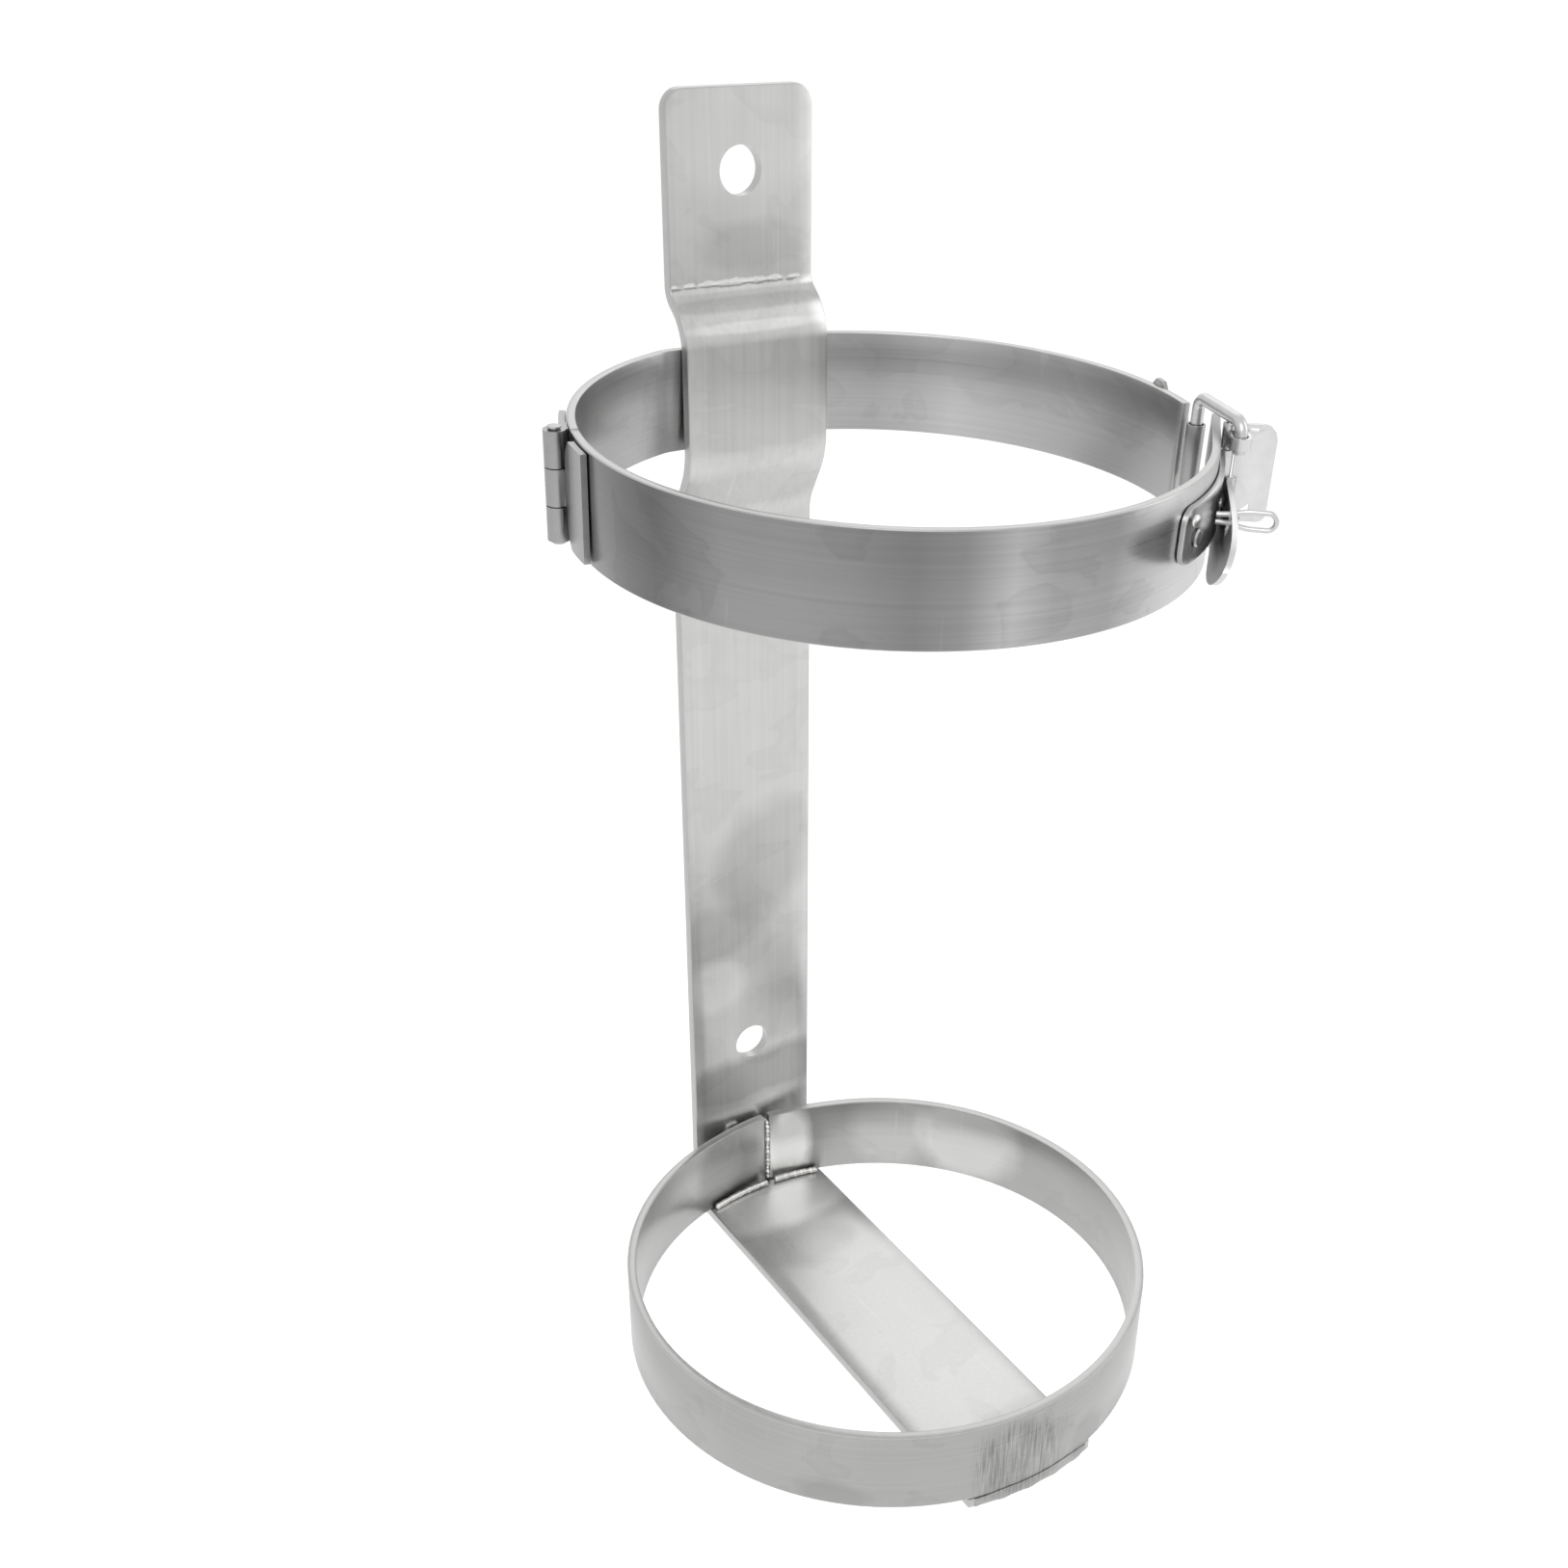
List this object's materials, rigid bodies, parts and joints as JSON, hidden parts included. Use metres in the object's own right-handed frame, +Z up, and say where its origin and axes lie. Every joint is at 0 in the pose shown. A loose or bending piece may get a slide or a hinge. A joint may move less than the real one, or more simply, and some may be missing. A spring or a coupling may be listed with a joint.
{
  "type": "fire extinguisher bracket",
  "caption": "Wall bracket with a flat strap, an open foot ring and a hinged band closed by an over-centre toggle latch.",
  "frame": {"origin": "underside of the floor strap, on the axis of the foot ring", "axes": "+Z up along the strap, +Y toward the wall, +X toward the latch side"},
  "size_m": [0.1542, 0.1568, 0.3239],
  "materials": {
    "strap_steel": "satin brushed stainless, scratched",
    "ring_steel": "satin brushed stainless",
    "band_steel": "satin brushed stainless, stained",
    "latch_steel": "pressed stainless sheet, bright edges",
    "wire_steel": "drawn bright wire",
    "weld_metal": "rough weld bead"
  },
  "bodies": {
    "wall_frame": {"back_strap": "strap_steel", "cradle_ring": "ring_steel", "ring_seam_weld": "weld_metal", "strap_ring_weld": "weld_metal", "floor_weld_left": "weld_metal", "floor_weld_right": "weld_metal", "front_weld": "weld_metal", "rear_band": "band_steel", "hinge_leaf_fixed": "latch_steel", "hinge_pin": "latch_steel", "strike_hook": "latch_steel"},
    "swing_band": {"front_band": "band_steel", "hinge_leaf_moving": "latch_steel", "latch_base_plate": "latch_steel", "base_rivet_1": "latch_steel", "base_rivet_2": "latch_steel", "base_tack_weld": "weld_metal", "safety_staple": "wire_steel", "lever_pin": "latch_steel"},
    "toggle_lever": {"latch_lever": "latch_steel"},
    "bail_loop": {"wire_bail": "wire_steel"},
    "roller": {"bail_roller": "latch_steel"}
  },
  "joints": [
    {"name": "band_hinge", "type": "hinge", "parent": "wall_frame", "child": "swing_band", "pos_m": [-0.07381, 0.02699, 0.25227], "axis": [0, 0.0445, -0.999], "range_deg": [0, 100]},
    {"name": "lever_pivot", "type": "hinge", "parent": "swing_band", "child": "toggle_lever", "pos_m": [0.06268, -0.03392, 0.25131], "axis": [0, -0.0445, 0.999], "range_deg": [0, 60]},
    {"name": "bail_pivot", "type": "hinge", "parent": "toggle_lever", "child": "bail_loop", "pos_m": [0.06052, -0.03976, 0.24929], "axis": [0, 0.0445, -0.999], "range_deg": [0, 130]},
    {"name": "roller_spin", "type": "hinge", "parent": "bail_loop", "child": "roller", "pos_m": [0.06558, -0.0201, 0.25127], "axis": [0, -0.0445, 0.999], "continuous": true}
  ]
}
